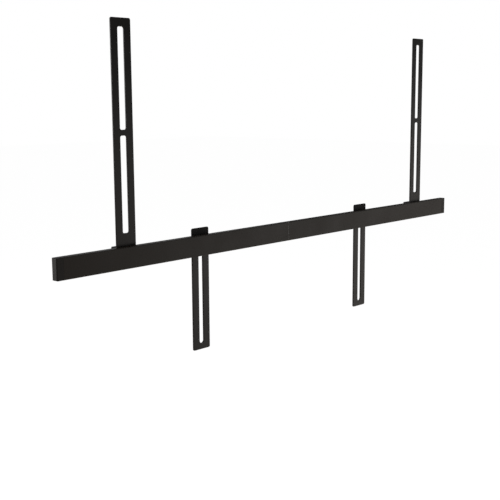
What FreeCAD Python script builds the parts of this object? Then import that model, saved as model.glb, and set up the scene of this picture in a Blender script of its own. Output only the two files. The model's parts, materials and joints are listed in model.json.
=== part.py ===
"""Soundbar bracket that hangs a soundbar under a flat television.

A slim slotted rail in two halves carries two tall upper arms, which bolt to the back of the
television, and two shorter lower arms, which carry the soundbar. Each arm is a slotted steel
plate, held against the back of the rail by a clamp, a screw and a bar nut inside the rail.

Millimetres. X runs along the rail from its mid-length, Y runs from the front to the back with
zero on the rail's back face, where every arm lies, and Z runs up from the rail's slot line.
"""

import math
import os

import FreeCAD
import Part

from FreeCAD import Vector

# Points and edges count as meeting when they lie nearer than this
meeting = 1e-5

# Rail: an extruded channel, flat in front, with one slot along its back
rail_length = 780.0
rail_height = 25.0
rail_depth = 8.9
front_wall = 1.6
shelf_wall = 1.8
lip_wall = 2.0
rail_slot = 8.0
rail_edge_radius = 0.7
rail_root_radius = 0.5
seam_offset = -9.6
seam_gap = 0.2

# Square-edged bar that slides inside the rail, for the nuts and for the joiner
bar_thickness = 4.0
bar_side_play = 0.5
nut_length = 22.0
joiner_length = 120.0

# Grub screws that press the joiner against the rail's lips
grub_radius = 2.5
grub_proud = 0.2
grub_inner_place = 15.0
grub_outer_place = 45.0
grub_key_size = 2.5
grub_key_depth = 2.0

# End caps
cap_length = 9.4
cap_edge_radius = 1.3
cap_plug_length = 14.0
cap_plug_wall = 1.4
cap_plug_play = 0.15
cap_joint_gap = 0.1

# Arms: flat steel plates with rounded corners
arm_width = 28.5
plate_thickness = 2.0
arm_corner_radius = 2.2

# Upper arms, on the back of the television, each placed from its own end of the rail
upper_arm_left_inset = 104.15
upper_arm_right_inset = 75.85
upper_arm_top = 266.9
upper_arm_foot = -11.0
upper_slot_width = 9.1
upper_slot_corner = 2.2
upper_slot_bottom = 27.3
upper_slot_bridge_bottom = 137.6
upper_slot_bridge_top = 144.2
upper_slot_top = 257.1

# Lower arms, for the soundbar, each placed from its own end of the rail
lower_arm_left_inset = 222.35
lower_arm_right_inset = 224.65
lower_arm_top = 21.1
lower_arm_bottom = -132.6
lower_slot_width = 7.1
lower_slot_head_margin = 10.0
lower_slot_foot_margin = 7.7

# Upper clamp: a moulded block with a key that passes the arm and enters the rail's slot
block_width = 21.5
block_height = 23.4
block_depth = 13.2
block_corner_radius = 1.6
block_draft = 0.3
block_edge_break = 0.4
key_length = 15.6
key_corner_radius = 1.5
key_play = 0.2
key_reach = 1.6
block_web = 4.2

# Lower clamp: a folded steel saddle whose ears keep the arm upright
saddle_height = 18.0
saddle_sheet = 2.0
saddle_play = 0.5
saddle_rail_gap = 0.3
saddle_corner_radius = 1.5

# Clamp screws and washers
screw_radius = 3.0
thread_play = 0.05
screw_hole_play = 0.3
washer_radius = 6.0
washer_thickness = 1.6
washer_play = 0.4
head_radius = 5.0
head_height = 6.0
head_key_size = 5.0
head_key_depth = 3.0
upper_screw_length = 14.0
lower_screw_length = 10.0

# Sizes that follow from those above
rail_front = -rail_depth
cavity_front = rail_front + front_wall
cavity_back = -lip_wall
cavity_half_height = rail_height / 2 - shelf_wall
bar_half_height = cavity_half_height - bar_side_play
bar_front = cavity_back - bar_thickness
extrusion_left = -rail_length / 2 + cap_length
extrusion_right = rail_length / 2 - cap_length
upper_arm_left = -rail_length / 2 + upper_arm_left_inset
upper_arm_right = rail_length / 2 - upper_arm_right_inset
lower_arm_left = -rail_length / 2 + lower_arm_left_inset
lower_arm_right = rail_length / 2 - lower_arm_right_inset
plate_back = plate_thickness
key_height = rail_slot - 2 * key_play
pocket_radius = washer_radius + washer_play
screw_hole_radius = screw_radius + screw_hole_play


def yz(x):
    """Gives a function that places (y, z) in the plane at x."""
    return lambda y, z: Vector(x, y, z)


def xz(y):
    """Gives a function that places (x, z) in the plane at y."""
    return lambda x, z: Vector(x, y, z)


def xy(z):
    """Gives a function that places (x, y) in the plane at z."""
    return lambda x, y: Vector(x, y, z)


def rounded_face(corners, place):
    """A flat face from corners (u, v, radius), with an arc at each corner that has a radius."""
    points = [Vector(u, v, 0) for u, v, _ in corners]
    starts, mids, ends = [], [], []
    for i, (_, _, radius) in enumerate(corners):
        here, before, after = points[i], points[i - 1], points[(i + 1) % len(points)]
        back, forth = (before - here).normalize(), (after - here).normalize()
        half = back.getAngle(forth) / 2
        reach = radius / math.tan(half)
        inward = (back + forth).normalize() * (radius / math.sin(half) - radius)
        starts.append(here + back * reach)
        mids.append(here + inward)
        ends.append(here + forth * reach)
    edges = []
    for i, (_, _, radius) in enumerate(corners):
        start, mid, end = (place(p.x, p.y) for p in (starts[i], mids[i], ends[i]))
        following = starts[(i + 1) % len(corners)]
        following = place(following.x, following.y)
        if radius:
            edges.append(Part.Arc(start, mid, end).toShape())
        if end.distanceToPoint(following) > meeting:
            edges.append(Part.LineSegment(end, following).toShape())
    return Part.Face(Part.Wire(edges))


def rectangle(low_u, low_v, high_u, high_v, radius):
    """The corners of a rectangle, all with one radius."""
    return [(low_u, low_v, radius), (high_u, low_v, radius),
            (high_u, high_v, radius), (low_u, high_v, radius)]


def mirrored(corners):
    """Corners followed by their reflection in v, in reverse order, as one closed outline."""
    return corners + [(u, -v, radius) for u, v, radius in reversed(corners)]


def rod(radius, x, z, back, front):
    """A round bar along Y at (x, z)."""
    return Part.makeCylinder(radius, back - front, Vector(x, front, z), Vector(0, 1, 0))


def hexagon(size, x, z, mouth, depth):
    """A six-sided driving recess, open towards the back at mouth."""
    across_corners = size / math.cos(math.pi / 6) / 2
    turns = [math.pi / 3 * i for i in range(6)]
    corners = [(x + across_corners * math.cos(a), z + across_corners * math.sin(a), 0) for a in turns]
    return rounded_face(corners, xz(mouth - depth)).extrude(Vector(0, depth, 0))


def rim_edges(shape, axis, place):
    """The edges whose ends lie at place along an axis, 0 for X and 1 for Y."""
    def at_place(edge):
        return all(abs(vertex.Point[axis] - place) < meeting for vertex in edge.Vertexes)
    return [edge for edge in shape.Edges if at_place(edge)]


def rail_section(x):
    """The rail's C-shaped section, as a face in the plane at x."""
    half, mouth = rail_height / 2, rail_slot / 2
    upper = [
        (rail_front, half, rail_edge_radius),
        (0, half, rail_edge_radius),
        (0, mouth, 0),
        (cavity_back, mouth, 0),
        (cavity_back, cavity_half_height, rail_root_radius),
        (cavity_front, cavity_half_height, rail_root_radius),
    ]
    return rounded_face(mirrored(upper), yz(x))


def rail_half(left, right):
    """One length of the rail."""
    return rail_section(left).extrude(Vector(right - left, 0, 0))


def slide_bar(left, right):
    """A length of bar inside the rail, seated against the inside of its lips."""
    corner = Vector(left, bar_front, -bar_half_height)
    return Part.makeBox(right - left, bar_thickness, 2 * bar_half_height, corner)


def slide_nut(x):
    """A bar nut with one threaded hole."""
    bar = slide_bar(x - nut_length / 2, x + nut_length / 2)
    return bar.cut(rod(screw_radius + thread_play, x, 0, cavity_back, bar_front))


def grub_places():
    """Where the joiner's screws stand along the rail, two each side of the seam."""
    offsets = (grub_inner_place, grub_outer_place)
    return [seam_offset + side * offset for side in (-1, 1) for offset in offsets]


def joiner():
    """The bar that bridges the seam inside the rail."""
    bar = slide_bar(seam_offset - joiner_length / 2, seam_offset + joiner_length / 2)
    for x in grub_places():
        bar = bar.cut(rod(grub_radius + thread_play, x, 0, cavity_back, bar_front))
    return bar


def grub_screw(x):
    """A headless screw through the joiner, with its tip on the inside of the front wall."""
    back = cavity_back + grub_proud
    body = rod(grub_radius, x, 0, back, cavity_front)
    return body.cut(hexagon(grub_key_size, x, 0, back, grub_key_depth))


def cap_block(inner, outer):
    """The cap's solid end: what its section, its plan and its front outline have in common."""
    half = rail_height / 2
    outline = rectangle(rail_front, -half, 0, half, rail_edge_radius)
    plan = [
        (inner, rail_front, 0),
        (inner, 0, 0),
        (outer, 0, cap_edge_radius),
        (outer, rail_front, cap_edge_radius),
    ]
    front = [
        (inner, -half, 0),
        (inner, half, 0),
        (outer, half, cap_edge_radius),
        (outer, -half, cap_edge_radius),
    ]
    block = rounded_face(outline, yz(inner)).extrude(Vector(outer - inner, 0, 0))
    block = block.common(rounded_face(plan, xy(-half)).extrude(Vector(0, 0, rail_height)))
    return block.common(rounded_face(front, xz(rail_front)).extrude(Vector(0, rail_depth, 0)))


def end_cap(side):
    """A moulded cap with a hollow plug. side is -1 at the left end and 1 at the right."""
    inner = side * (extrusion_right + cap_joint_gap)
    tip = inner - side * cap_plug_length
    front, back = cavity_front + cap_plug_play, cavity_back - cap_plug_play
    half = cavity_half_height - cap_plug_play
    wall = cap_plug_wall
    plug = rounded_face(rectangle(front, -half, back, half, rail_root_radius), yz(tip))
    hollow = rounded_face(rectangle(front + wall, -half + wall, back - wall, half - wall, 0), yz(tip))
    plug = plug.cut(hollow).extrude(Vector(inner - tip, 0, 0))
    return cap_block(inner, side * rail_length / 2).fuse(plug).removeSplitter()


def arm_plate(x, bottom, top, openings):
    """A flat arm at x with its openings punched through."""
    half = arm_width / 2
    blank = rounded_face(rectangle(x - half, bottom, x + half, top, arm_corner_radius), xz(0))
    for opening in openings:
        blank = blank.cut(rounded_face(opening, xz(0)))
    return blank.extrude(Vector(0, plate_thickness, 0))


def upper_arm(x):
    """A tall arm: two slots in line for the television, and a window for the clamp's key."""
    half = upper_slot_width / 2
    window_x, window_z = key_length / 2 + key_play, key_height / 2 + key_play
    openings = [
        rectangle(x - half, upper_slot_bottom, x + half, upper_slot_bridge_bottom, upper_slot_corner),
        rectangle(x - half, upper_slot_bridge_top, x + half, upper_slot_top, upper_slot_corner),
        rectangle(x - window_x, -window_z, x + window_x, window_z, key_corner_radius + key_play),
    ]
    return arm_plate(x, upper_arm_foot, upper_arm_top, openings)


def lower_arm(x):
    """A short arm with one long round-ended slot."""
    half = lower_slot_width / 2
    low, high = lower_arm_bottom + lower_slot_foot_margin, lower_arm_top - lower_slot_head_margin
    return arm_plate(x, lower_arm_bottom, lower_arm_top, [rectangle(x - half, low, x + half, high, half)])


def drafted_block(x, front, back):
    """A block at x that is drawn in on its four sides from front to back, with rounded corners."""
    half_x, half_z = block_width / 2, block_height / 2
    plan = [
        (x - half_x, front, 0),
        (x + half_x, front, 0),
        (x + half_x - block_draft, back, 0),
        (x - half_x + block_draft, back, 0),
    ]
    profile = [
        (front, -half_z, 0),
        (back, -half_z + block_draft, 0),
        (back, half_z - block_draft, 0),
        (front, half_z, 0),
    ]
    across = rounded_face(plan, xy(-half_z)).extrude(Vector(0, 0, block_height))
    along = rounded_face(profile, yz(x - half_x)).extrude(Vector(block_width, 0, 0))
    block = across.common(along)
    rims = rim_edges(block, 1, front) + rim_edges(block, 1, back)
    sides = [edge for edge in block.Edges if not any(edge.isSame(rim) for rim in rims)]
    block = block.makeFillet(block_corner_radius, sides)
    return block.makeChamfer(block_edge_break, rim_edges(block, 1, back))


def clamp_block(x):
    """The moulded block behind an upper arm, with a key in front that passes the arm's window."""
    back = plate_back + block_depth
    block = drafted_block(x, plate_back, back)
    half_x, half_z = key_length / 2, key_height / 2
    key = rounded_face(rectangle(x - half_x, -half_z, x + half_x, half_z, key_corner_radius), xz(-key_reach))
    block = block.fuse(key.extrude(Vector(0, key_reach + plate_back, 0))).removeSplitter()
    block = block.cut(rod(screw_hole_radius, x, 0, back, -key_reach))
    return block.cut(rod(pocket_radius, x, 0, back, plate_back + block_web))


def saddle(x):
    """The folded saddle behind a lower arm: a web with an ear round each side of the arm.

    The inside of each bend starts beyond the arm's edge, so that the web lies flat on the arm.
    """
    inner = arm_width / 2 + saddle_play
    outer = inner + saddle_sheet
    web_back = plate_back + saddle_sheet
    section = [
        (x - outer, saddle_rail_gap, 0),
        (x - outer, web_back, saddle_play + saddle_sheet),
        (x + outer, web_back, saddle_play + saddle_sheet),
        (x + outer, saddle_rail_gap, 0),
        (x + inner, saddle_rail_gap, 0),
        (x + inner, plate_back, saddle_play),
        (x - inner, plate_back, saddle_play),
        (x - inner, saddle_rail_gap, 0),
    ]
    low = -saddle_height / 2
    folded = rounded_face(section, xy(low)).extrude(Vector(0, 0, saddle_height))
    outline = rounded_face(rectangle(x - outer, low, x + outer, -low, saddle_corner_radius), xz(0))
    trimmed = folded.common(outline.extrude(Vector(0, web_back, 0)))
    return trimmed.cut(rod(screw_hole_radius, x, 0, web_back, plate_back))


def washer(x, seat):
    """A flat washer whose front lies on the plane at seat."""
    disc = rod(washer_radius, x, 0, seat + washer_thickness, seat)
    return disc.cut(rod(screw_hole_radius, x, 0, seat + washer_thickness, seat))


def cap_screw(x, seat, length):
    """A socket cap screw with the underside of its head on the plane at seat."""
    top = seat + head_height
    head = rod(head_radius, x, 0, top, seat).cut(hexagon(head_key_size, x, 0, top, head_key_depth))
    return head.fuse(rod(screw_radius, x, 0, seat, seat - length)).removeSplitter()


def upper_set(side, x):
    """An upper arm with what clamps it to the rail, by node name."""
    seat = plate_back + block_web
    return {
        f"upper_arm_{side}": upper_arm(x),
        f"upper_clamp_block_{side}": clamp_block(x),
        f"upper_washer_{side}": washer(x, seat),
        f"upper_clamp_screw_{side}": cap_screw(x, seat + washer_thickness, upper_screw_length),
        f"upper_slide_nut_{side}": slide_nut(x),
    }


def lower_set(side, x):
    """A lower arm with what clamps it to the rail, by node name."""
    seat = plate_back + saddle_sheet
    return {
        f"lower_arm_{side}": lower_arm(x),
        f"lower_clamp_saddle_{side}": saddle(x),
        f"lower_washer_{side}": washer(x, seat),
        f"lower_clamp_screw_{side}": cap_screw(x, seat + washer_thickness, lower_screw_length),
        f"lower_slide_nut_{side}": slide_nut(x),
    }


def rail_set():
    """The rail's own pieces, by node name."""
    return {
        "rail_left": rail_half(extrusion_left, seam_offset - seam_gap / 2),
        "rail_right": rail_half(seam_offset + seam_gap / 2, extrusion_right),
        "rail_joiner": joiner(),
        "joiner_grub_screws": Part.makeCompound([grub_screw(x) for x in grub_places()]),
        "end_cap_left": end_cap(-1),
        "end_cap_right": end_cap(1),
    }


def main():
    """Builds every piece and writes it to its own STEP file."""
    pieces = rail_set()
    pieces.update(upper_set("left", upper_arm_left))
    pieces.update(upper_set("right", upper_arm_right))
    pieces.update(lower_set("left", lower_arm_left))
    pieces.update(lower_set("right", lower_arm_right))
    os.makedirs("parts", exist_ok=True)
    for name, shape in pieces.items():
        shape.exportStep(f"parts/{name}.step")
        print(f"{name}: {len(shape.Solids)} solid, {shape.Volume / 1000:.2f} cm3, valid {shape.isValid()}")


main()
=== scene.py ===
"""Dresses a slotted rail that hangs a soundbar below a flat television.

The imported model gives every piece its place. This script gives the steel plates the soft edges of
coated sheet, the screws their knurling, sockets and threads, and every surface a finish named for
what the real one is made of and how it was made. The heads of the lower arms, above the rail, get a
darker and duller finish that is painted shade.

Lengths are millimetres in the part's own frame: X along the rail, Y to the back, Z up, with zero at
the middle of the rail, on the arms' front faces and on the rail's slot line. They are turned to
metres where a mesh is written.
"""

from __future__ import annotations

import json
import logging
import math
from dataclasses import dataclass
from enum import Enum
from typing import Protocol

import bmesh
import bpy
import numpy as np
from mathutils import Matrix, Vector
from mathutils.geometry import tessellate_polygon

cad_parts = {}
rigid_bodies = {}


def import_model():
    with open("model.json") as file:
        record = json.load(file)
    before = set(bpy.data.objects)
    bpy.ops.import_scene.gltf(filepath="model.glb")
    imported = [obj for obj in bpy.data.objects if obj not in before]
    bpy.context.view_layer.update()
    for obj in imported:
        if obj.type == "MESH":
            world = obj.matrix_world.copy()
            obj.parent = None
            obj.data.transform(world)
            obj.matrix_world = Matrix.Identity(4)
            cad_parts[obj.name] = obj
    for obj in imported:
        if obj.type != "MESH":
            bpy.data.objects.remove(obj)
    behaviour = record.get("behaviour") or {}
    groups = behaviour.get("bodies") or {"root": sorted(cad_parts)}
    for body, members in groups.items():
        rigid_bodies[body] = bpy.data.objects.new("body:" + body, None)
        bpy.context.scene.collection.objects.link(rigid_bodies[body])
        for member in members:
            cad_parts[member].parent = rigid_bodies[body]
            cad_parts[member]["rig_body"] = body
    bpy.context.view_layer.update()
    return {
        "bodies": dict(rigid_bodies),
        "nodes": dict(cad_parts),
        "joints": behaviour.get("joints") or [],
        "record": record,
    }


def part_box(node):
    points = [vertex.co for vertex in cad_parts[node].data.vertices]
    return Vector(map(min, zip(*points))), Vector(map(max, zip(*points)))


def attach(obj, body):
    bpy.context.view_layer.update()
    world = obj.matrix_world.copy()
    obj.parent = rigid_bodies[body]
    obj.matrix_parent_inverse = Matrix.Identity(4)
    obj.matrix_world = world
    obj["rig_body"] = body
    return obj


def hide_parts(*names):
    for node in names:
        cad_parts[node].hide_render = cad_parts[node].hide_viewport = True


log = logging.getLogger("bracket")

MM = 0.001
# The finish of the lower arms' heads above the rail: painted shade, darker and duller than their coat
HEAD_PAINTED_SHADE = "head_painted_shade"

# Points closer than this, in millimetres, become one
WELD_DISTANCE = 0.002

# Edges that turn by more than this stay crisp
CRISP_ANGLE = math.radians(32)

# The places of the joiner's threaded holes and their screws along X, from its middle
JOINER_HOLES = (-45.0, -15.0, 15.0, 45.0)

# A noise texture seldom leaves this range
NOISE_LOW, NOISE_HIGH = 0.3, 0.7


class Side(Enum):
    """The two ends of the rail, as seen from the front."""

    LEFT = "left"
    RIGHT = "right"


# Colours and nodes


def linear(hex_colour: str) -> tuple[float, float, float, float]:
    """Turns an sRGB hex colour to linear light.

    Each channel c becomes c / 12.92 up to 0.04045, and ((c + 0.055) / 1.055) ** 2.4 above it.

    Args:
        hex_colour: Six hex digits after a hash.

    Returns:
        Red, green, blue and an alpha of 1.
    """
    channels = [int(hex_colour[i : i + 2], 16) / 255 for i in (1, 3, 5)]
    r, g, b = (c / 12.92 if c <= 0.04045 else ((c + 0.055) / 1.055) ** 2.4 for c in channels)
    return r, g, b, 1.0


def add_node(
    tree: bpy.types.NodeTree, kind: str, inputs: dict | None = None, **settings: object
) -> bpy.types.Node:
    """Adds a node to a tree, sets it up and links it.

    Args:
        tree: The node tree.
        kind: The node's Blender type.
        inputs: A value or another node's output for each input socket, by name or number.
        **settings: The node's own settings.

    Returns:
        The new node.
    """
    node = tree.nodes.new(kind)
    for name, value in settings.items():
        setattr(node, name, value)
    for key, value in (inputs or {}).items():
        if isinstance(value, bpy.types.NodeSocket):
            tree.links.new(value, node.inputs[key])
        else:
            node.inputs[key].default_value = value
    return node


# Finishes


@dataclass(frozen=True)
class Finish:
    """What all finishes share: a tone and a gloss that wander a little, and a fine relief.

    Attributes:
        title: The material's name.
        dark: The darker of its two tones, as sRGB hex.
        light: The lighter of its two tones.
        patch: How wide the wandering patches are.
        gloss_from: The lowest roughness.
        gloss_to: The highest roughness.
        metallic: 1 for bare metal and 0 for paint and plastic.
        specular: The reflection at right angles, where 0.5 is that of IOR 1.5.
        pitch: The width of one grain of the relief.
        relief: The height of the relief.
    """

    title: str
    dark: str
    light: str
    patch: float
    gloss_from: float
    gloss_to: float
    metallic: float
    specular: float
    pitch: float
    relief: float

    def noise(
        self, tree: bpy.types.NodeTree, place: bpy.types.NodeSocket, width: float, detail: float
    ) -> bpy.types.NodeSocket:
        """Soft random patches of a given width in millimetres.

        Args:
            tree: The material's node tree.
            place: The point on the piece, in metres.
            width: How wide one patch is.
            detail: How many finer layers are added.

        Returns:
            A number from 0 to 1.
        """
        settings = {"Vector": place, "Scale": 1 / (width * MM), "Detail": detail, "Roughness": 0.5}
        return add_node(tree, "ShaderNodeTexNoise", settings).outputs["Fac"]

    def grain(self, tree: bpy.types.NodeTree, place: bpy.types.NodeSocket) -> bpy.types.NodeSocket:
        """The relief's height from 0 to 1. Here it is even in all directions."""
        return self.noise(tree, place, self.pitch, 1.0)

    def ground(self, tree: bpy.types.NodeTree, place: bpy.types.NodeSocket, shader: bpy.types.Node) -> None:
        """Links the tone and the roughness, both led by one slow wandering value."""
        wander = self.noise(tree, place, self.patch, 2.0)
        tones = {"Factor": wander, "A": linear(self.dark), "B": linear(self.light)}
        tone = add_node(tree, "ShaderNodeMix", tones, data_type="RGBA")
        glosses = {"Value": wander, "From Min": NOISE_LOW, "From Max": NOISE_HIGH}
        glosses |= {"To Min": self.gloss_from, "To Max": self.gloss_to}
        gloss = add_node(tree, "ShaderNodeMapRange", glosses)
        tree.links.new(tone.outputs["Result"], shader.inputs["Base Color"])
        tree.links.new(gloss.outputs["Result"], shader.inputs["Roughness"])
        shader.inputs["Metallic"].default_value = self.metallic

    def build(self) -> bpy.types.Material:
        """Makes the material."""
        material = bpy.data.materials.new(self.title)
        material.use_nodes = True
        tree = material.node_tree
        shader = tree.nodes["Principled BSDF"]
        place = add_node(tree, "ShaderNodeTexCoord").outputs["Object"]
        self.ground(tree, place, shader)
        shader.inputs["Specular IOR Level"].default_value = self.specular
        bump = {"Height": self.grain(tree, place), "Strength": 1.0, "Distance": self.relief * MM}
        normal = add_node(tree, "ShaderNodeBump", bump).outputs["Normal"]
        tree.links.new(normal, shader.inputs["Normal"])
        return material


@dataclass(frozen=True)
class DrawnMetal(Finish):
    """Metal with fine lines along X, as an extrusion die or a roll leaves them."""

    stretch: float = 60.0

    def grain(self, tree: bpy.types.NodeTree, place: bpy.types.NodeSocket) -> bpy.types.NodeSocket:
        """Noise drawn out along X, so that each grain is stretch times as long as it is wide."""
        drawn = {"Vector": place, "Scale": (1 / self.stretch, 1.0, 1.0)}
        along = add_node(tree, "ShaderNodeMapping", drawn)
        return self.noise(tree, along.outputs["Vector"], self.pitch, 2.0)


@dataclass(frozen=True)
class SawnExtrusion(DrawnMetal):
    """An anodised extrusion that was sawn to length, so its cut ends show bare metal.

    Attributes:
        cuts: Where the saw cuts are along X.
        cut_width: How far the bare metal reaches from each cut, over the deburred edge.
        bare: The colour of the bare metal.
    """

    cuts: tuple[float, ...] = ()
    cut_width: float = 0.04
    bare: str = "#8E8F90"

    def ground(self, tree: bpy.types.NodeTree, place: bpy.types.NodeSocket, shader: bpy.types.Node) -> None:
        """The dyed surface, changed to bare metal where X is within cut_width of a cut."""
        super().ground(tree, place, shader)
        across = add_node(tree, "ShaderNodeSeparateXYZ", {"Vector": place}).outputs["X"]
        near = None
        for cut in self.cuts:
            here = {0: across, 1: cut * MM, 2: self.cut_width * MM}
            here = add_node(tree, "ShaderNodeMath", here, operation="COMPARE").outputs[0]
            if near is not None:
                here = add_node(tree, "ShaderNodeMath", {0: near, 1: here}, operation="MAXIMUM").outputs[0]
            near = here
        dyed = shader.inputs["Base Color"].links[0].from_socket
        tone = {"Factor": near, "A": dyed, "B": linear(self.bare)}
        tone = add_node(tree, "ShaderNodeMix", tone, data_type="RGBA").outputs["Result"]
        tree.links.new(tone, shader.inputs["Base Color"])
        tree.links.new(near, shader.inputs["Metallic"])


def finishes(cuts: tuple[float, ...]) -> dict[str, Finish]:
    """Chooses the finish of each material slot of the record, and the painted shade of the lower arms'
    heads.

    Args:
        cuts: Where the rail was sawn, along X.

    Returns:
        The finishes by name.
    """
    return {
        # Extruded aluminium, etched satin and dyed black: near black, a little warm, with a soft
        # sheen that grows towards a flat angle. The die leaves lines along it that are under
        # 0.1 mm wide, too fine to show, so they are drawn 0.9 mm wide
        "rail_coat": SawnExtrusion(
            title="anodised_aluminium_extruded",
            dark="#0D0A06", light="#100C08", patch=40.0,
            gloss_from=0.36, gloss_to=0.42, metallic=0.0, specular=0.12,
            pitch=0.9, relief=0.03, stretch=120.0, cuts=cuts,
        ),
        # Polyester powder baked on steel sheet: neutral black, satin, with the slight waviness
        # called orange peel. Its waves are 1 to 2 mm wide, and drawn twice as deep as real ones
        # are, so that they just show from close by
        "arm_coat": Finish(
            title="powder_coated_steel",
            dark="#0B0A09", light="#11100F", patch=25.0,
            gloss_from=0.27, gloss_to=0.33, metallic=0.0, specular=0.11,
            pitch=1.6, relief=0.02,
        ),
        # Painted shade on the heads of the lower arms, where they stand above the rail in its shade: a
        # dull coat, the darkest of all
        HEAD_PAINTED_SHADE: Finish(
            title="head_painted_shade_matt",
            dark="#070707", light="#090909", patch=12.0,
            gloss_from=0.55, gloss_to=0.65, metallic=0.0, specular=0.09,
            pitch=0.8, relief=0.004,
        ),
        # Nylon moulded in a polished tool: smooth, and a little darker than the coated metal
        "cap_nylon": Finish(
            title="nylon_moulded_smooth",
            dark="#0A0908", light="#0D0B0A", patch=12.0,
            gloss_from=0.40, gloss_to=0.48, metallic=0.0, specular=0.11,
            pitch=0.6, relief=0.002,
        ),
        # Nylon moulded in a spark-eroded tool: fine even grit that kills the gloss
        "clamp_nylon": Finish(
            title="nylon_moulded_spark_eroded",
            dark="#080808", light="#0C0C0C", patch=12.0,
            gloss_from=0.60, gloss_to=0.70, metallic=0.0, specular=0.15,
            pitch=0.35, relief=0.012,
        ),
        # Steel screws plated with zinc and dyed black: dark metal with a cool, faintly olive cast
        "black_zinc": Finish(
            title="zinc_plated_black_steel",
            dark="#2A2B2E", light="#33322E", patch=3.0,
            gloss_from=0.30, gloss_to=0.42, metallic=1.0, specular=0.5,
            pitch=0.25, relief=0.002,
        ),
        # Cold drawn steel bar with bright zinc: pale blue-grey metal with lines along the bar
        "bright_zinc": DrawnMetal(
            title="zinc_plated_drawn_steel",
            dark="#A9AEB4", light="#C2C6CA", patch=8.0,
            gloss_from=0.24, gloss_to=0.36, metallic=1.0, specular=0.5,
            pitch=0.3, relief=0.002, stretch=40.0,
        ),
    }


# Surfaces


@dataclass(frozen=True)
class Outline:
    """A closed flat loop.

    Attributes:
        points: The loop's points as (x, z), in order.
        out: At each point, the unit direction that leaves the material.
    """

    points: np.ndarray
    out: np.ndarray

    @classmethod
    def rounded(cls, low: np.ndarray, high: np.ndarray, radius: float, steps: int = 8) -> Outline:
        """A rectangle with quarter circles at its corners.

        Each corner is c + radius * (cos a, sin a), where c is its centre and a turns by 90 degrees.

        Args:
            low: The lowest x and z.
            high: The highest x and z.
            radius: The corner radius.
            steps: The number of segments in each corner.

        Returns:
            The outline of a plate's outside.
        """
        low, high = np.asarray(low, float), np.asarray(high, float)
        turn = np.radians(90.0 * np.arange(4)[:, None] + np.linspace(0, 90, steps + 1))
        out = np.stack([np.cos(turn), np.sin(turn)], axis=-1)
        signs = np.array([(1, 1), (-1, 1), (-1, -1), (1, -1)], float)
        centres = (low + high) / 2 + signs * ((high - low) / 2 - radius)
        points = centres[:, None] + radius * out
        return cls(points.reshape(-1, 2), out.reshape(-1, 2))

    @classmethod
    def circle(cls, centre: tuple[float, float], radius: float, steps: int = 64) -> Outline:
        """A circle, as centre + radius * (cos a, sin a)."""
        turn = np.linspace(0, 2 * np.pi, steps, endpoint=False)
        out = np.stack([np.cos(turn), np.sin(turn)], axis=-1)
        return cls(np.asarray(centre) + radius * out, out)

    def hole(self) -> Outline:
        """The same loop round an opening, where the material lies outside it."""
        return Outline(self.points, -self.out)

    def inset(self, distance: float) -> np.ndarray:
        """The loop moved into the material by a distance: points - distance * out."""
        return self.points - distance * self.out


@dataclass(frozen=True)
class Edge:
    """How the wall round a flat piece runs from its front face to its back face.

    Attributes:
        front: The radius of the front edge.
        back: The radius of the back edge.
        lean: How far the wall moves into the material on its way back.
        hold: A flat border inside each rounded edge that keeps the faces' shading even.
        steps: The segments of each rounded edge.
    """

    front: float
    back: float
    lean: float = 0.0
    hold: float = 0.2
    steps: int = 4

    def profile(self, y_front: float, y_back: float) -> np.ndarray:
        """The wall's profile as rows of (inset, y).

        Each rounded edge is r - r * sin a in from the wall and r - r * cos a from the face. The
        lean adds a share of itself that grows evenly with y.

        Args:
            y_front: The front face's place.
            y_back: The back face's place.

        Returns:
            An array of shape (rows, 2).
        """
        turn = np.radians(np.linspace(0, 90, self.steps + 1))
        sink, run = 1 - np.sin(turn), 1 - np.cos(turn)
        front = np.stack([self.front * sink, y_front + self.front * run], axis=1)
        back = np.stack([self.back * sink, y_back - self.back * run], axis=1)[::-1]
        first, last = front[:1] + (self.hold, 0), back[-1:] + (self.hold, 0)
        rows = np.concatenate([first, front, back, last])
        rows[:, 0] += self.lean * (rows[:, 1] - y_front) / (y_back - y_front)
        return rows


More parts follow.
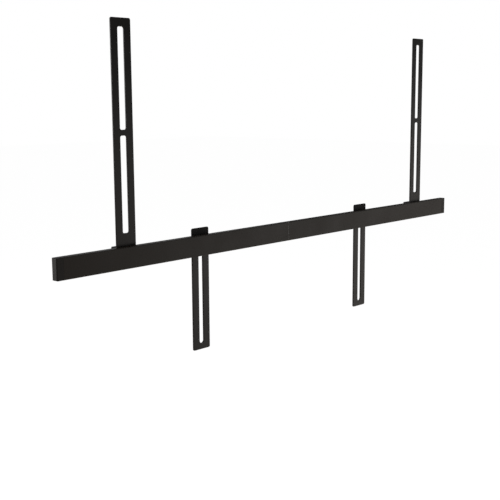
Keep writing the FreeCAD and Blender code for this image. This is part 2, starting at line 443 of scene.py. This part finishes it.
class Surface:
    """A mesh that is put together from grids and flat faces, and then written as one piece."""

    def __init__(self) -> None:
        """Starts with nothing in it."""
        self.points: list[np.ndarray] = []
        self.faces: list[list[int]] = []
        self.count = 0

    def add_grid(self, grid: np.ndarray) -> None:
        """Adds a tube of four-sided faces.

        Row i, column j joins to row i + 1 and to column j + 1, and the last column to the first.

        Args:
            grid: Points of shape (rows, columns, 3).
        """
        rows, columns = grid.shape[:2]
        number = self.count + np.arange(rows * columns).reshape(rows, columns)
        beside = np.roll(number, -1, axis=1)
        quads = np.stack([number[:-1], beside[:-1], beside[1:], number[1:]], axis=-1)
        self.points.append(grid.reshape(-1, 3))
        self.faces += quads.reshape(-1, 4).tolist()
        self.count += rows * columns

    def add_wall(self, outline: Outline, profile: np.ndarray) -> None:
        """Carries a profile of (inset, y) round an outline: (x, z) = points - inset * out."""
        flat = outline.points[None] - profile[:, :1, None] * outline.out[None]
        level = np.broadcast_to(profile[:, 1][:, None], flat.shape[:2])
        self.add_grid(np.stack([flat[..., 0], level, flat[..., 1]], axis=-1))

    def add_flat(self, y: float, outer: np.ndarray, *holes: np.ndarray) -> None:
        """Fills the flat face between a loop and the openings in it.

        Args:
            y: The face's place.
            outer: The outer loop's points as (x, z).
            *holes: Each opening's points.
        """
        loops = [np.stack([p[:, 0], np.full(len(p), y), p[:, 1]], axis=1) for p in (outer, *holes)]
        flat = [[Vector((x, z, 0)) for x, _, z in loop] for loop in loops]
        self.points += loops
        self.faces += [[self.count + i for i in triangle] for triangle in tessellate_polygon(flat)]
        self.count += sum(len(loop) for loop in loops)

    def add_plate(self, y_front: float, y_back: float, edge: Edge, outer: Outline, *holes: Outline) -> None:
        """A flat plate with rounded edges, outside and in its openings.

        Args:
            y_front: The front face's place.
            y_back: The back face's place.
            edge: The shape of every edge.
            outer: The plate's outline.
            *holes: The outline of each opening, made with Outline.hole().
        """
        profile = edge.profile(y_front, y_back)
        for outline in (outer, *holes):
            self.add_wall(outline, profile)
        for inset, y in (profile[0], profile[-1]):
            self.add_flat(y, *(outline.inset(inset) for outline in (outer, *holes)))

    def add_turned(self, centre: tuple[float, float], radii: np.ndarray, levels: np.ndarray) -> None:
        """A body turned about an axis along Y, whose radius may change round it.

        The point of row i, column j is centre + radii[i, j] * (cos a, sin a) at levels[i], with a
        going once round over the columns.

        Args:
            centre: The axis as (x, z).
            radii: The radius in each row and column.
            levels: The place of each row along Y.
        """
        turn = turns(radii.shape[1])
        x = centre[0] + radii * np.cos(turn)
        z = centre[1] + radii * np.sin(turn)
        y = np.broadcast_to(levels[:, None], radii.shape)
        self.add_grid(np.stack([x, y, z], axis=-1))

    def write(self, name: str) -> bpy.types.Object:
        """Makes a closed mesh of it, with smooth rounds and crisp corners.

        Args:
            name: The piece's name.

        Returns:
            The new object, at the origin.
        """
        mesh = bpy.data.meshes.new(name)
        mesh.from_pydata((np.concatenate(self.points) * MM).tolist(), [], self.faces)
        work = bmesh.new()
        work.from_mesh(mesh)
        bmesh.ops.remove_doubles(work, verts=work.verts, dist=WELD_DISTANCE * MM)
        bmesh.ops.recalc_face_normals(work, faces=work.faces)
        work.to_mesh(mesh)
        work.free()
        mesh.shade_smooth()
        mesh.set_sharp_from_angle(angle=CRISP_ANGLE)
        piece = bpy.data.objects.new(name, mesh)
        bpy.context.scene.collection.objects.link(piece)
        return piece


def turns(columns: int) -> np.ndarray:
    """Evenly spaced angles once round, in radians."""
    return np.linspace(0, 2 * np.pi, columns, endpoint=False)


def hexagon(across_flats: float, columns: int) -> np.ndarray:
    """The radius of a hexagon at each angle: (s / 2) / cos((a mod 60 degrees) - 30 degrees)."""
    sixth = np.pi / 3
    return across_flats / 2 / np.cos(turns(columns) % sixth - sixth / 2)


def rings(radii: list[float], columns: int) -> np.ndarray:
    """Round rows: each radius repeated in all columns."""
    return np.repeat(np.asarray(radii, float)[:, None], columns, axis=1)


@dataclass(frozen=True)
class Thread:
    """A right-handed screw thread.

    Attributes:
        radius: The radius over the crests.
        pitch: The distance between crests.
        lead_in: The length of the chamfer at the tip.
    """

    radius: float
    pitch: float
    lead_in: float

    def rows(self, tip: float, end: float, columns: int) -> tuple[np.ndarray, np.ndarray]:
        """The thread's surface from its tip to its end.

        With w = |2 * frac((y - tip) / pitch - a / 360) - 1|, the radius falls from the crest to the
        root by depth * clip((w - 1/8) / (5/8), 0, 1), and depth is 0.6134 * pitch. Within lead_in
        of the tip the radius also stays under a cone of 45 degrees.

        Args:
            tip: The tip's place along Y.
            end: The other end's place, further back.
            columns: The number of points round the thread.

        Returns:
            The radius in each row and column, and each row's place.
        """
        depth = 0.6134 * self.pitch
        levels = np.linspace(tip, end, 1 + round((end - tip) / (self.pitch / 8)))
        along = (levels[:, None] - tip) / self.pitch - turns(columns) / (2 * np.pi)
        wave = np.abs(2 * (along % 1.0) - 1)
        radii = self.radius - depth * np.clip((wave - 1 / 8) / (5 / 8), 0, 1)
        cone = self.radius - self.lead_in + (levels - tip)[:, None]
        return np.minimum(radii, cone), levels


# Pieces


class Maker(Protocol):
    """What makes a piece to fit the box of a node."""

    def surface(self, low: np.ndarray, high: np.ndarray) -> Surface:
        """The piece's surface between the lowest and the highest corner of its box."""


class Workshop:
    """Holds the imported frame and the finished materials, and puts pieces where they belong."""

    def __init__(self, frame: dict, materials: dict[str, bpy.types.Material]) -> None:
        """Keeps the frame and notes each node's material slot.

        Args:
            materials: The finished material of each slot.
        """
        self.nodes = frame["nodes"]
        self.materials = materials
        self.slots = {s["node"]: s["material_slot"] for s in frame["record"]["subparts"]}

    def span(self, node: str) -> tuple[np.ndarray, np.ndarray]:
        """The lowest and the highest corner of a node, in millimetres."""
        low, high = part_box(node)
        return np.array(low) / MM, np.array(high) / MM

    def dress(self, node: str) -> None:
        """Gives a node that stays as it is the finish of its slot."""
        for held in self.nodes[node].material_slots:
            held.material = self.materials[self.slots[node]]
        log.info("%s: kept, in %s", node, self.slots[node])

    def stand_in(self, node: str, surface: Surface) -> bpy.types.Object:
        """Writes a surface as the piece that stands for a node.

        Args:
            node: The node, whose body and finish the piece takes.
            surface: The piece's surface.

        Returns:
            The piece.
        """
        piece = surface.write(f"{node}_detailed")
        piece.data.materials.append(self.materials[self.slots[node]])
        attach(piece, self.nodes[node]["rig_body"])
        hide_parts(node)
        log.info("%s: made anew with %d faces", node, len(piece.data.polygons))
        return piece

    def make(self, node: str, maker: Maker) -> bpy.types.Object:
        """Makes a piece in the place of a node and stands it in for that node."""
        return self.stand_in(node, maker.surface(*self.span(node)))

    def paint_shade(self, piece: bpy.types.Object, level: float, finish: str) -> None:
        """Gives what lies above a level of a piece another finish, which here is painted shade.

        The faces are cut along the level first, so that the finish ends in a straight line.

        Args:
            piece: The piece.
            level: The height of that line.
            finish: The name of the other finish.
        """
        mesh = piece.data
        work = bmesh.new()
        work.from_mesh(mesh)
        everything = [*work.verts, *work.edges, *work.faces]
        bmesh.ops.bisect_plane(work, geom=everything, plane_co=(0, 0, level * MM), plane_no=(0, 0, 1))
        work.to_mesh(mesh)
        work.free()
        centres = np.empty(3 * len(mesh.polygons), np.float32)
        mesh.polygons.foreach_get("center", centres)
        mesh.materials.append(self.materials[finish])
        mesh.polygons.foreach_set("material_index", (centres[2::3] > level * MM).astype(np.int32))
        mesh.update()
        log.info("%s: dipped in %s down to z = %.1f", piece.name, finish, level)


@dataclass(frozen=True)
class SheetArm:
    """What both kinds of arm share: a flat sheet with rounded corners and a soft coated edge."""

    corner: float = 2.2
    edge: Edge = Edge(front=0.45, back=0.3)

    def openings(self, low: np.ndarray, high: np.ndarray) -> list[Outline]:
        """The outlines of the openings. Each kind of arm has its own."""
        raise NotImplementedError

    def surface(self, low: np.ndarray, high: np.ndarray) -> Surface:
        """The arm's sheet between two corners of its box."""
        sheet = Surface()
        outer = Outline.rounded(low[[0, 2]], high[[0, 2]], self.corner)
        holes = [outline.hole() for outline in self.openings(low, high)]
        sheet.add_plate(low[1], high[1], self.edge, outer, *holes)
        return sheet


@dataclass(frozen=True)
class UpperArm(SheetArm):
    """A tall arm with two slots in line and, behind the rail, a window for the clamp's key."""

    slot_width: float = 9.1
    slot_corner: float = 2.2
    slot_spans: tuple[tuple[float, float], ...] = ((27.3, 137.6), (144.2, 257.1))
    window_size: tuple[float, float] = (16.0, 8.0)
    window_corner: float = 1.7

    def openings(self, low: np.ndarray, high: np.ndarray) -> list[Outline]:
        """Two slots and the window, all on the arm's centre line."""
        x, half = (low[0] + high[0]) / 2, self.slot_width / 2
        window = np.array(self.window_size) / 2
        slots = [
            Outline.rounded((x - half, bottom), (x + half, top), self.slot_corner)
            for bottom, top in self.slot_spans
        ]
        return [*slots, Outline.rounded((x, 0) - window, (x, 0) + window, self.window_corner)]


@dataclass(frozen=True)
class LowerArm(SheetArm):
    """A short arm with one long round-ended slot, and a head above the rail drawn darker and duller as
    painted shade.
    """

    slot_width: float = 7.1
    foot_margin: float = 7.7
    head_margin: float = 10.0
    # How far down from the top of a lower arm its painted shade reaches
    shaded: float = 8.4

    def openings(self, low: np.ndarray, high: np.ndarray) -> list[Outline]:
        """One slot that stops short of both ends, and hides its upper end behind the rail."""
        x, half = (low[0] + high[0]) / 2, self.slot_width / 2
        ends = low[2] + self.foot_margin, high[2] - self.head_margin
        return [Outline.rounded((x - half, ends[0]), (x + half, ends[1]), half, steps=12)]


@dataclass(frozen=True)
class ClampBlock:
    """The moulded block behind an upper arm, with its key, its pocket and its screw hole.

    The block leans in towards the back by draft on each side, so that it leaves its mould.
    """

    corner: float = 1.6
    draft: float = 0.3
    front_edge: float = 0.3
    back_edge: float = 0.4
    front: float = 2.0
    pocket_radius: float = 6.4
    pocket_floor: float = 6.2
    pocket_edge: float = 0.4
    hole_radius: float = 3.3
    key_size: tuple[float, float] = (15.6, 7.6)
    key_corner: float = 1.5
    key_edge: float = 0.5

    def surface(self, low: np.ndarray, high: np.ndarray) -> Surface:
        """The block from the outside in: walls, back, pocket, hole, key and front.

        Args:
            low: The lowest corner of the block's box, on the key's front.
            high: The highest corner.

        Returns:
            The closed surface.
        """
        block = Surface()
        centre = (low[[0, 2]] + high[[0, 2]]) / 2
        half_key = np.array(self.key_size) / 2
        key_front, back = low[1], high[1]
        outer = Outline.rounded(low[[0, 2]], high[[0, 2]], self.corner)
        key = Outline.rounded(centre - half_key, centre + half_key, self.key_corner)
        pocket = Outline.circle(centre, self.pocket_radius).hole()
        hole = Outline.circle(centre, self.hole_radius).hole()

        walls = Edge(self.front_edge, self.back_edge, lean=self.draft).profile(self.front, back)
        block.add_wall(outer, walls)
        mouth = Edge(front=0.0, back=self.pocket_edge).profile(self.pocket_floor, back)[2:]
        block.add_wall(pocket, mouth)
        block.add_flat(back, outer.inset(walls[-1, 0]), pocket.inset(mouth[-1, 0]))
        block.add_flat(self.pocket_floor, pocket.points, hole.points)
        block.add_wall(hole, np.array([(0, self.pocket_floor), (0, key_front)]))
        tip = Edge(front=self.key_edge, back=0.0).profile(key_front, self.front)[:-1]
        block.add_wall(key, tip)
        block.add_flat(key_front, key.inset(tip[0, 0]), hole.points)
        block.add_flat(self.front, outer.inset(walls[0, 0]), key.points)
        return block


@dataclass(frozen=True)
class Washer:
    """A stamped washer: rounded where the punch drew the metal in, crisper at the back."""

    hole_radius: float = 3.3
    edge: Edge = Edge(front=0.35, back=0.15, hold=0.1)

    def surface(self, low: np.ndarray, high: np.ndarray) -> Surface:
        """A round plate with a round hole."""
        ring = Surface()
        centre = (low[[0, 2]] + high[[0, 2]]) / 2
        outer = Outline.circle(centre, (high[0] - low[0]) / 2)
        ring.add_plate(low[1], high[1], self.edge, outer, Outline.circle(centre, self.hole_radius).hole())
        return ring


@dataclass(frozen=True)
class SlideBar:
    """A bar inside the rail with threaded holes along its middle, each with a broken edge."""

    hole_radius: float
    hole_places: tuple[float, ...] = (0.0,)
    edge: Edge = Edge(front=0.4, back=0.4)

    def surface(self, low: np.ndarray, high: np.ndarray) -> Surface:
        """A rectangular bar with its holes, which are placed from its middle."""
        bar = Surface()
        middle, z = (low[0] + high[0]) / 2, (low[2] + high[2]) / 2
        outer = Outline.rounded(low[[0, 2]], high[[0, 2]], self.edge.front, steps=4)
        holes = [Outline.circle((middle + place, z), self.hole_radius).hole() for place in self.hole_places]
        bar.add_plate(low[1], high[1], self.edge, outer, *holes)
        return bar


@dataclass(frozen=True)
class CapScrew:
    """A socket cap screw with a knurled head and a rolled thread.

    Attributes:
        head_height: The height of the head.
        thread: The thread of its shank.
        key: The width of its hexagonal socket across the flats.
        key_depth: The depth of the socket.
        ridges: The number of knurled ridges round the head.
        knurl: The depth of the knurling.
        knurl_start: How far above the underside the knurling is at its full height.
        knurl_stop: How far below the rounded top edge it ends.
        crown: The radius of the rounded top edge of the head.
        foot: How far the flat underside stays inside the head's radius.
        foot_height: The height of the chamfer round the underside.
        mouth: The width of the chamfer round the socket's corners.
        mouth_depth: The depth of that chamfer.
        hold: A flat border inside each edge of the top that keeps its shading even.
        drill_share: The width of the drilled hole in the socket's floor, as a share of the socket.
        drill_depths: The depth of that hole at its side and at its middle.
        root: How far the shank starts inside the head.
        shank_columns: The number of points round the shank.
    """

    head_height: float = 6.0
    thread: Thread = Thread(radius=3.0, pitch=1.0, lead_in=0.7)
    key: float = 5.0
    key_depth: float = 3.0
    ridges: int = 36
    knurl: float = 0.22
    knurl_start: float = 0.6
    knurl_stop: float = 0.5
    crown: float = 0.6
    foot: float = 0.6
    foot_height: float = 0.35
    mouth: float = 0.3
    mouth_depth: float = 0.35
    hold: float = 0.2
    drill_share: float = 0.45
    drill_depths: tuple[float, float] = (0.4, 0.6)
    root: float = 0.4
    shank_columns: int = 48

    def head(self, radius: float, seat: float) -> tuple[np.ndarray, np.ndarray]:
        """The head's rows, from the middle of its underside to the middle of its socket's floor.

        The knurled side is radius - knurl * |sin(ridges * a / 2)|, which leaves one ridge wherever
        the sine is zero.

        Args:
            radius: The head's radius.
            seat: The place of its underside.

        Returns:
            The radius in each row and column, and each row's place.
        """
        columns = 6 * self.ridges
        top = seat + self.head_height
        under = rings([0.0, radius - self.foot, radius - self.knurl], columns)
        groove = self.knurl * np.abs(np.sin(self.ridges * turns(columns) / 2))
        side = np.stack([radius - groove, radius - groove])
        bend = np.radians(np.linspace(0, 90, 6))
        crown = rings((radius - self.knurl - self.crown * (1 - np.cos(bend))).tolist(), columns)
        rim = radius - self.knurl - self.crown - self.hold
        mouth = self.key / math.sqrt(3) + self.mouth
        land = rings([rim, mouth + self.hold, mouth], columns)
        socket = np.stack([hexagon(self.key, columns)] * 2)
        drilled = np.stack([self.drill_share * hexagon(self.key, columns), np.zeros(columns)])
        radii = np.concatenate([under, side, crown, land, socket, drilled])
        floor = top - self.key_depth
        levels = np.concatenate([
            [seat, seat, seat + self.foot_height],
            [seat + self.knurl_start, top - self.crown - self.knurl_stop],
            top - self.crown + self.crown * np.sin(bend),
            [top, top, top],
            [top - self.mouth_depth, floor],
            floor - np.array(self.drill_depths),
        ])
        return radii, levels

    def surface(self, low: np.ndarray, high: np.ndarray) -> Surface:
        """The head, and the threaded shank that starts inside it."""
        screw = Surface()
        centre = (float(low[0] + high[0]) / 2, float(low[2] + high[2]) / 2)
        seat = high[1] - self.head_height
        screw.add_turned(centre, *self.head((high[0] - low[0]) / 2, seat))
        radii, levels = self.thread.rows(low[1], seat + self.root, self.shank_columns)
        middle = rings([0.0], self.shank_columns)
        radii = np.concatenate([middle, radii, middle])
        levels = np.concatenate([levels[:1], levels, levels[-1:]])
        screw.add_turned(centre, radii, levels)
        return screw


@dataclass(frozen=True)
class GrubScrews:
    """Headless screws in a row along the joiner, threaded from end to end.

    Attributes:
        thread: The thread of each screw.
        key: The width of its hexagonal socket across the flats.
        key_depth: The depth of the socket.
        mouth: The width of the chamfer round the socket's corners.
        mouth_depth: The depth of that chamfer.
        drill_depth: How much deeper the socket is at its middle.
        columns: The number of points round each screw.
    """

    thread: Thread = Thread(radius=2.5, pitch=0.8, lead_in=0.6)
    key: float = 2.5
    key_depth: float = 2.0
    mouth: float = 0.15
    mouth_depth: float = 0.2
    drill_depth: float = 0.4
    columns: int = 72

    def surface(self, low: np.ndarray, high: np.ndarray) -> Surface:
        """All the screws, each one closed body from its flat point to its socket's floor."""
        screws = Surface()
        middle, z = (low[0] + high[0]) / 2, (low[2] + high[2]) / 2
        back = high[1]
        radii, levels = self.thread.rows(low[1], back, self.columns)
        rim = self.thread.radius - self.thread.lead_in + (back - levels)[:, None]
        radii = np.minimum(radii, rim)
        point = rings([0.0], self.columns)
        mouth = rings([self.key / math.sqrt(3) + self.mouth], self.columns)
        socket = np.stack([hexagon(self.key, self.columns)] * 2)
        radii = np.concatenate([point, radii, mouth, socket, point])
        floor = back - self.key_depth
        depths = [back, back - self.mouth_depth, floor, floor - self.drill_depth]
        levels = np.concatenate([levels[:1], levels, depths])
        for place in JOINER_HOLES:
            screws.add_turned((middle + place, z), radii, levels)
        return screws


# Sub-assemblies


@dataclass(frozen=True)
class Rail:
    """The rail: two lengths of extrusion, the joiner with its grub screws, and the end caps."""

    joiner: SlideBar = SlideBar(hole_radius=2.55, hole_places=JOINER_HOLES)
    grub_screws: GrubScrews = GrubScrews()

    @staticmethod
    def cuts() -> tuple[float, float]:
        """Where the extrusion was sawn at the seam, along X. The caps hide its other two cuts."""
        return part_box("rail_left")[1][0] / MM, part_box("rail_right")[0][0] / MM

    def assemble(self, shop: Workshop) -> None:
        """Dresses the lengths and the caps, and makes what joins the lengths."""
        for side in Side:
            shop.dress(f"rail_{side.value}")
            shop.dress(f"end_cap_{side.value}")
        shop.make("rail_joiner", self.joiner)
        shop.make("joiner_grub_screws", self.grub_screws)


@dataclass(frozen=True)
class UpperCarriage:
    """An upper arm and everything that clamps it to the rail."""

    side: Side
    arm: UpperArm = UpperArm()
    block: ClampBlock = ClampBlock()
    washer: Washer = Washer()
    screw: CapScrew = CapScrew()
    nut: SlideBar = SlideBar(hole_radius=3.05)

    def assemble(self, shop: Workshop) -> None:
        """Makes each piece in the place of its node."""
        makers = {
            "upper_arm": self.arm,
            "upper_clamp_block": self.block,
            "upper_washer": self.washer,
            "upper_clamp_screw": self.screw,
            "upper_slide_nut": self.nut,
        }
        for name, maker in makers.items():
            shop.make(f"{name}_{self.side.value}", maker)


@dataclass(frozen=True)
class LowerCarriage:
    """A lower arm and everything that clamps it to the rail."""

    side: Side
    arm: LowerArm = LowerArm()
    washer: Washer = Washer()
    screw: CapScrew = CapScrew()
    nut: SlideBar = SlideBar(hole_radius=3.05)

    def assemble(self, shop: Workshop) -> None:
        """Makes each piece in the place of its node, and dresses the folded saddle."""
        node = f"lower_arm_{self.side.value}"
        top = shop.span(node)[1][2]
        # The head above the rail gets painted shade: a darker, duller finish in place of the rail's shade
        shop.paint_shade(shop.make(node, self.arm), top - self.arm.shaded, HEAD_PAINTED_SHADE)
        makers = {
            "lower_washer": self.washer,
            "lower_clamp_screw": self.screw,
            "lower_slide_nut": self.nut,
        }
        for name, maker in makers.items():
            shop.make(f"{name}_{self.side.value}", maker)
        shop.dress(f"lower_clamp_saddle_{self.side.value}")


# Studio


@dataclass(frozen=True)
class PhotoCamera:
    """The camera, where the photograph was taken from.

    Attributes:
        place: Its place in the part's frame.
        yaw: How far it looks to the right of straight back, in degrees.
        pitch: How far it looks down.
        roll: How far it is turned clockwise.
        focal_pixels: Its focal length in pixels of the photograph.
        image_pixels: The photograph's width.
        sensor: The width of the film that Blender assumes, in millimetres.
        reach: How far it sees, in metres.
    """

    place: tuple[float, float, float] = (-984.2, -830.4, 180.55)
    yaw: float = 47.52
    pitch: float = 9.17
    roll: float = 0.38
    focal_pixels: float = 953.8
    image_pixels: float = 500.0
    sensor: float = 36.0
    reach: float = 100.0

    def build(self) -> None:
        """Makes the camera and gives it to the scene.

        Its view goes along (sin yaw * cos pitch, cos yaw * cos pitch, -sin pitch).
        """
        yaw, pitch, roll = (math.radians(a) for a in (self.yaw, self.pitch, self.roll))
        level = math.cos(pitch)
        ahead = Vector((math.sin(yaw) * level, math.cos(yaw) * level, -math.sin(pitch)))
        right = Vector((math.cos(yaw), -math.sin(yaw), 0))
        down = ahead.cross(right)
        turned_right = math.cos(roll) * right + math.sin(roll) * down
        turned_down = math.cos(roll) * down - math.sin(roll) * right
        pose = Matrix((turned_right, -turned_down, -ahead)).transposed().to_4x4()
        pose.translation = Vector(self.place) * MM
        lens = bpy.data.cameras.new("camera")
        lens.sensor_width = self.sensor
        lens.lens = self.focal_pixels / self.image_pixels * self.sensor
        lens.clip_end = self.reach
        camera = bpy.data.objects.new("camera", lens)
        camera.matrix_world = pose
        bpy.context.scene.collection.objects.link(camera)
        bpy.context.scene.camera = camera


@dataclass(frozen=True)
class SoftBox:
    """A large soft lamp that points at the middle of the object.

    Attributes:
        title: Its name.
        place: Where it stands, in metres.
        width: The width of its square face, in metres.
        power: Its power in watts.
    """

    title: str
    place: tuple[float, float, float]
    width: float
    power: float

    def build(self) -> None:
        """Makes the lamp."""
        light = bpy.data.lights.new(self.title, "AREA")
        light.size, light.energy = self.width, self.power
        lamp = bpy.data.objects.new(self.title, light)
        aim = Vector(self.place).to_track_quat("Z", "Y").to_matrix().to_4x4()
        lamp.matrix_world = Matrix.Translation(self.place) @ aim
        lamp.visible_camera = False
        bpy.context.scene.collection.objects.link(lamp)


@dataclass(frozen=True)
class Curtain:
    """A dark curtain that only shows in reflections, so that black pieces keep their depth.

    It hangs in an arc round the object, above the floor's horizon.

    Attributes:
        title: Its name.
        distance: The arc's radius, in metres.
        turn_from: Where the arc starts, in degrees from the X axis towards the back.
        turn_to: Where it ends.
        low: Its lower edge, in metres.
        high: Its upper edge, in metres.
        colour: Its colour, as sRGB hex.
        steps: The segments of the arc.
    """

    title: str
    distance: float
    turn_from: float
    turn_to: float
    low: float
    high: float
    colour: str
    steps: int = 32

    def build(self) -> None:
        """Makes the curtain: distance * (cos a, sin a), at both of its heights."""
        turn = np.radians(np.linspace(self.turn_from, self.turn_to, self.steps + 1))
        ring = self.distance * np.stack([np.cos(turn), np.sin(turn)], axis=1)
        rows = [np.column_stack([ring, np.full(len(ring), z)]) for z in (self.low, self.high)]
        first = np.arange(len(ring) - 1)
        faces = np.stack([first, first + 1, first + 1 + len(ring), first + len(ring)], axis=1)
        mesh = bpy.data.meshes.new(self.title)
        mesh.from_pydata(np.concatenate(rows).tolist(), [], faces.tolist())
        material = bpy.data.materials.new(self.title)
        material.use_nodes = True
        tree = material.node_tree
        tree.nodes.clear()
        cloth = add_node(tree, "ShaderNodeEmission", {"Color": linear(self.colour), "Strength": 1.0})
        add_node(tree, "ShaderNodeOutputMaterial", {"Surface": cloth.outputs[0]})
        mesh.materials.append(material)
        curtain = bpy.data.objects.new(self.title, mesh)
        curtain.visible_camera = curtain.visible_diffuse = curtain.visible_shadow = False
        curtain.visible_transmission = False
        bpy.context.scene.collection.objects.link(curtain)


@dataclass(frozen=True)
class Studio:
    """A white room with a wide pale floor well below the object, and soft lamps.

    Attributes:
        floor_depth: How far the floor lies below the slot line, in metres.
        floor_width: The floor's width, in metres.
        floor_paint: The colour of its paint, as sRGB hex.
        world_level: The strength of the light from all round.
        plain_share: How much of the floor looks plain white, which leaves the rest for shadows.
        plain_level: How bright that share is, so that both shares together are white.
        gloss_tone: What that share's colour is in a gloss, which warms the black surfaces a little.
        lamps: The soft lamps.
        curtains: The curtains that show in reflections.
        camera: The camera.
    """

    floor_depth: float = 1.6
    floor_width: float = 60.0
    floor_paint: str = "#F4F4F4"
    world_level: float = 0.8
    plain_share: float = 0.6
    plain_level: float = 1.17
    gloss_tone: str = "#FFEAD6"
    lamps: tuple[SoftBox, ...] = (
        SoftBox("lamp_above", place=(-0.6, -0.4, 3.0), width=1.6, power=30.0),
        SoftBox("lamp_behind_left", place=(-4.7, 5.2, 0.7), width=2.2, power=215.0),
        SoftBox("lamp_low_right", place=(3.9, -3.5, -0.75), width=1.6, power=19.0),
    )
    curtains: tuple[Curtain, ...] = (
        Curtain(
            "curtain_front", distance=4.0, turn_from=-95.0, turn_to=-15.0,
            low=0.2, high=4.0, colour="#808080",
        ),
        Curtain(
            "curtain_back_right", distance=4.0, turn_from=10.0, turn_to=42.0,
            low=0.1, high=4.0, colour="#505050",
        ),
        Curtain(
            "curtain_back", distance=4.0, turn_from=42.0, turn_to=85.0,
            low=0.1, high=4.0, colour="#A0A0A0",
        ),
    )
    camera: PhotoCamera = PhotoCamera()

    @staticmethod
    def seen(tree: bpy.types.NodeTree) -> bpy.types.NodeSocket:
        """1 for what the camera sees straight, in a gloss or through something, and 0 for light."""
        rays = add_node(tree, "ShaderNodeLightPath").outputs
        direct = {0: rays["Is Camera Ray"], 1: rays["Is Glossy Ray"]}
        direct = add_node(tree, "ShaderNodeMath", direct, operation="MAXIMUM").outputs[0]
        both = {0: direct, 1: rays["Is Transmission Ray"]}
        return add_node(tree, "ShaderNodeMath", both, operation="MAXIMUM").outputs[0]

    def build_world(self) -> None:
        """White to the eye, and an even light for everything else."""
        world = bpy.data.worlds.new("white_room")
        world.use_nodes = True
        tree = world.node_tree
        tree.nodes.clear()
        light, white = (
            add_node(tree, "ShaderNodeBackground", {"Color": (1, 1, 1, 1), "Strength": strength})
            for strength in (self.world_level, 1.0)
        )
        both = {"Fac": self.seen(tree), 1: light.outputs[0], 2: white.outputs[0]}
        both = add_node(tree, "ShaderNodeMixShader", both).outputs[0]
        add_node(tree, "ShaderNodeOutputWorld", {"Surface": both})
        bpy.context.scene.world = world

    def build_floor(self) -> None:
        """A square floor that looks white and still takes the object's shadow."""
        material = bpy.data.materials.new("painted_floor")
        material.use_nodes = True
        tree = material.node_tree
        tree.nodes.clear()
        paint = add_node(tree, "ShaderNodeBsdfDiffuse", {"Color": linear(self.floor_paint)})
        camera = add_node(tree, "ShaderNodeLightPath").outputs["Is Camera Ray"]
        tone = {"Factor": camera, "A": linear(self.gloss_tone), "B": (1, 1, 1, 1)}
        tone = add_node(tree, "ShaderNodeMix", tone, data_type="RGBA").outputs["Result"]
        white = add_node(tree, "ShaderNodeEmission", {"Color": tone, "Strength": self.plain_level})
        share = {0: self.seen(tree), 1: self.plain_share}
        share = add_node(tree, "ShaderNodeMath", share, operation="MULTIPLY").outputs[0]
        both = {"Fac": share, 1: paint.outputs[0], 2: white.outputs[0]}
        both = add_node(tree, "ShaderNodeMixShader", both).outputs[0]
        add_node(tree, "ShaderNodeOutputMaterial", {"Surface": both})
        half, level = self.floor_width / 2, -self.floor_depth
        square = [(-half, -half, level), (half, -half, level), (half, half, level), (-half, half, level)]
        mesh = bpy.data.meshes.new("floor")
        mesh.from_pydata(square, [], [(0, 1, 2, 3)])
        mesh.materials.append(material)
        floor = bpy.data.objects.new("floor", mesh)
        bpy.context.scene.collection.objects.link(floor)

    def build(self) -> None:
        """Makes the room, its lamps and the camera."""
        bpy.context.scene.view_settings.view_transform = "Standard"
        self.build_world()
        self.build_floor()
        for stand in (*self.lamps, *self.curtains):
            stand.build()
        self.camera.build()


def main() -> None:
    """Loads the frame, builds every sub-assembly and the studio."""
    logging.basicConfig(level=logging.INFO, format="%(name)s: %(message)s")
    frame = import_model()
    materials = {slot: finish.build() for slot, finish in finishes(Rail.cuts()).items()}
    shop = Workshop(frame, materials)
    Rail().assemble(shop)
    for side in Side:
        UpperCarriage(side).assemble(shop)
        LowerCarriage(side).assemble(shop)
    Studio().build()


if __name__ == "__main__":
    main()
